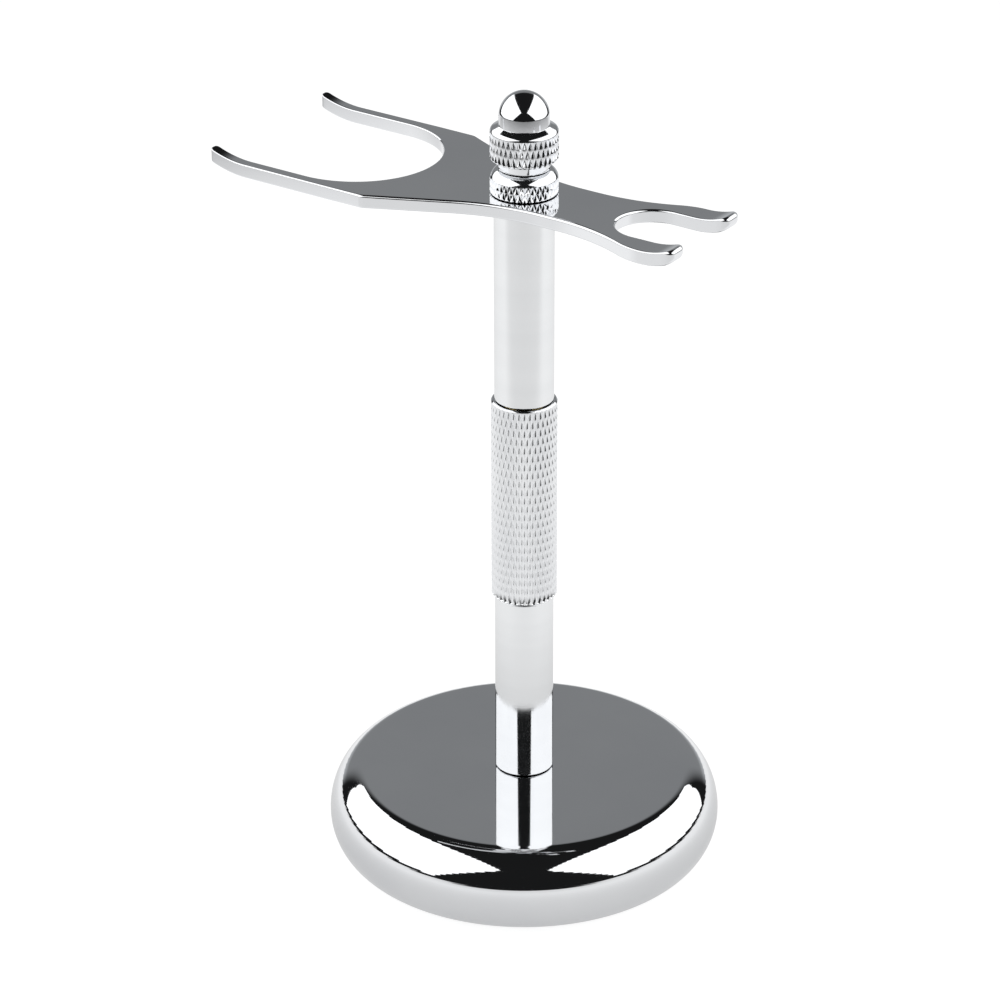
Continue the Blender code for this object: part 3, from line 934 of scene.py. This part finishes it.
def combined(nodes, links, operation, one, other):
    """Two values joined by a maths operation."""
    maths = nodes.new("ShaderNodeMath")
    maths.operation = operation
    links.new(one, maths.inputs[0])
    links.new(other, maths.inputs[1])
    return maths.outputs["Value"]


def studio_axes(nodes, links, coordinates):
    """X, Y and Z along the studio's own axes."""
    place = nodes.new("ShaderNodeTexCoord")
    turn = nodes.new("ShaderNodeMapping")
    turn.inputs["Rotation"].default_value = (0.0, 0.0, -math.radians(VIEW_AZIMUTH))
    split = nodes.new("ShaderNodeSeparateXYZ")
    links.new(place.outputs[coordinates], turn.inputs["Vector"])
    links.new(turn.outputs["Vector"], split.inputs["Vector"])
    return split.outputs


def mirrored_or_seen(nodes, links, mirrored, seen):
    """One value in mirrors and for light, and another for the camera."""
    path = nodes.new("ShaderNodeLightPath")
    choose = nodes.new("ShaderNodeMix")
    choose.data_type = "FLOAT"
    choose.inputs["B"].default_value = seen
    links.new(path.outputs["Is Camera Ray"], choose.inputs["Factor"])
    links.new(mirrored, choose.inputs["A"])
    return choose.outputs["Result"]


def floor():
    """A round pale floor whose glow, as mirrors see it, carries painted shade: a little darker towards
    the camera, close to the stand and far from it.
    """
    mat, nodes, links, shader = node_material("floor_painted_glow")
    shader.inputs["Base Color"].default_value = (FLOOR_GREY, FLOOR_GREY, FLOOR_GREY, 1.0)
    shader.inputs["Roughness"].default_value = FLOOR_ROUGHNESS
    shader.inputs["Specular IOR Level"].default_value = 0.0
    shader.inputs["Emission Color"].default_value = (*WHITE, 1.0)
    depth = studio_axes(nodes, links, "Object")["Y"]
    place = nodes.new("ShaderNodeTexCoord")
    away = nodes.new("ShaderNodeVectorMath")
    away.operation = "LENGTH"
    links.new(place.outputs["Object"], away.inputs[0])
    distance = away.outputs["Value"]
    # Painted shade, painted dark and painted glow in the floor's emission, which the stand's mirrors
    # show.
    front = ramp(nodes, links, depth, FLOOR_PAINTED_SHADE_FRONT)
    near = ramp(nodes, links, distance, FLOOR_PAINTED_SHADE_NEAR)
    far = ramp(nodes, links, distance, FLOOR_PAINTED_DARK_FAR)
    behind = ramp(nodes, links, depth, FLOOR_PAINTED_GLOW_BEHIND)
    painted_shade_close_up = combined(nodes, links, "MULTIPLY", front, near)
    reached = combined(nodes, links, "MAXIMUM", far, behind)
    mirrored = combined(nodes, links, "MULTIPLY", painted_shade_close_up, reached)
    glow = mirrored_or_seen(nodes, links, mirrored, FLOOR_SEEN)
    links.new(glow, shader.inputs["Emission Strength"])
    corners = [polar(FLOOR_REACH, math.tau * i / FLOOR_FACETS, FLOOR_Z) for i in range(FLOOR_FACETS)]
    staged("floor", corners, [tuple(range(FLOOR_FACETS))], mat)


def softboxes():
    """Two big panels that lean in over the stand, with a dark gap between them towards the camera."""
    mat = glowing("softbox", SOFTBOX_GLOW)
    for name, side in (("left_softbox", -1), ("right_softbox", 1)):
        corners = [(side * x, y, z) for x, y, z in SOFTBOX_CORNERS]
        panel = staged(name, corners, [tuple(range(len(corners)))], mat)
        panel.visible_camera = False


def surroundings():
    """A dark room with a grey backdrop behind the stand, which the camera sees as plain white."""
    world = bpy.data.worlds.new("studio")
    bpy.context.scene.world = world
    world.use_nodes = True
    nodes = world.node_tree.nodes
    links = world.node_tree.links
    direction = studio_axes(nodes, links, "Generated")
    sides = ramp(nodes, links, direction["Y"], BACKDROP_SIDES)
    top = ramp(nodes, links, direction["Z"], BACKDROP_TOP)
    glow = ramp(nodes, links, direction["Z"], BACKDROP_GLOW)
    backdrop = combined(nodes, links, "MULTIPLY", combined(nodes, links, "MULTIPLY", sides, top), glow)
    room = nodes.new("ShaderNodeMath")
    room.operation = "ADD"
    room.inputs[1].default_value = ROOM_GLOW
    links.new(backdrop, room.inputs[0])
    strength = mirrored_or_seen(nodes, links, room.outputs["Value"], 1.0)
    links.new(strength, nodes["Background"].inputs["Strength"])
    path = nodes.new("ShaderNodeLightPath")
    tint = nodes.new("ShaderNodeMix")
    tint.data_type = "RGBA"
    tint.inputs[COLOUR_A].default_value = (*ROOM_TINT, 1.0)
    tint.inputs[COLOUR_B].default_value = (*WHITE, 1.0)
    links.new(path.outputs["Is Camera Ray"], tint.inputs["Factor"])
    links.new(tint.outputs[COLOUR_RESULT], nodes["Background"].inputs["Color"])


def camera():
    """The camera, which looks at the stand's axis a little below its middle."""
    azimuth = math.radians(VIEW_AZIMUTH)
    elevation = math.radians(VIEW_ELEVATION)
    back = Vector((
        math.sin(azimuth) * math.cos(elevation),
        -math.cos(azimuth) * math.cos(elevation),
        math.sin(elevation),
    ))
    data = bpy.data.cameras.new("camera")
    data.lens = LENS
    data.sensor_width = SENSOR_WIDTH
    data.shift_x = SHIFT_X
    data.clip_start, data.clip_end = CLIP_RANGE
    cam = bpy.data.objects.new("camera", data)
    bpy.context.collection.objects.link(cam)
    cam.location = Vector((0.0, 0.0, VIEW_TARGET_Z)) + back * VIEW_DISTANCE
    cam.rotation_mode = "QUATERNION"
    cam.rotation_quaternion = (-back).to_track_quat("-Z", "Y")
    bpy.context.scene.camera = cam


# ---------------------------------------------------------------- assembly


def body_of_node(node):
    """The body that carries a CAD node."""
    bodies = frame["record"]["behaviour"]["bodies"]
    return next(body for body, nodes in bodies.items() if node in nodes)


def main():
    """Draw the pieces that replace CAD nodes, give the other nodes materials, and set the studio."""
    mats = all_materials()
    slots = {part["node"]: part["material_slot"] for part in frame["record"]["subparts"]}
    makers = {
        "base_cover": base_cover,
        "base_pad": base_pad,
        "lower_post": lambda mat: tube("lower_tube", "lower_post", mat),
        "knurled_grip": knurled_grip,
        "upper_post": lambda mat: tube("upper_tube", "upper_post", mat, seat=True),
        "holder_plate": holder_plate,
        "clamp_collar": clamp_collar,
        "finial_knob": finial_knob,
        "tie_rod": tie_rod,
    }
    for node, obj in frame["nodes"].items():
        mat = mats[slots[node]]
        if node in makers:
            stands_for(makers[node](mat), node, body_of_node(node))
        else:
            obj.data.materials.clear()
            obj.data.materials.append(mat)
    floor()
    softboxes()
    surroundings()
    camera()
    bpy.context.scene.view_settings.view_transform = "Standard"


main()
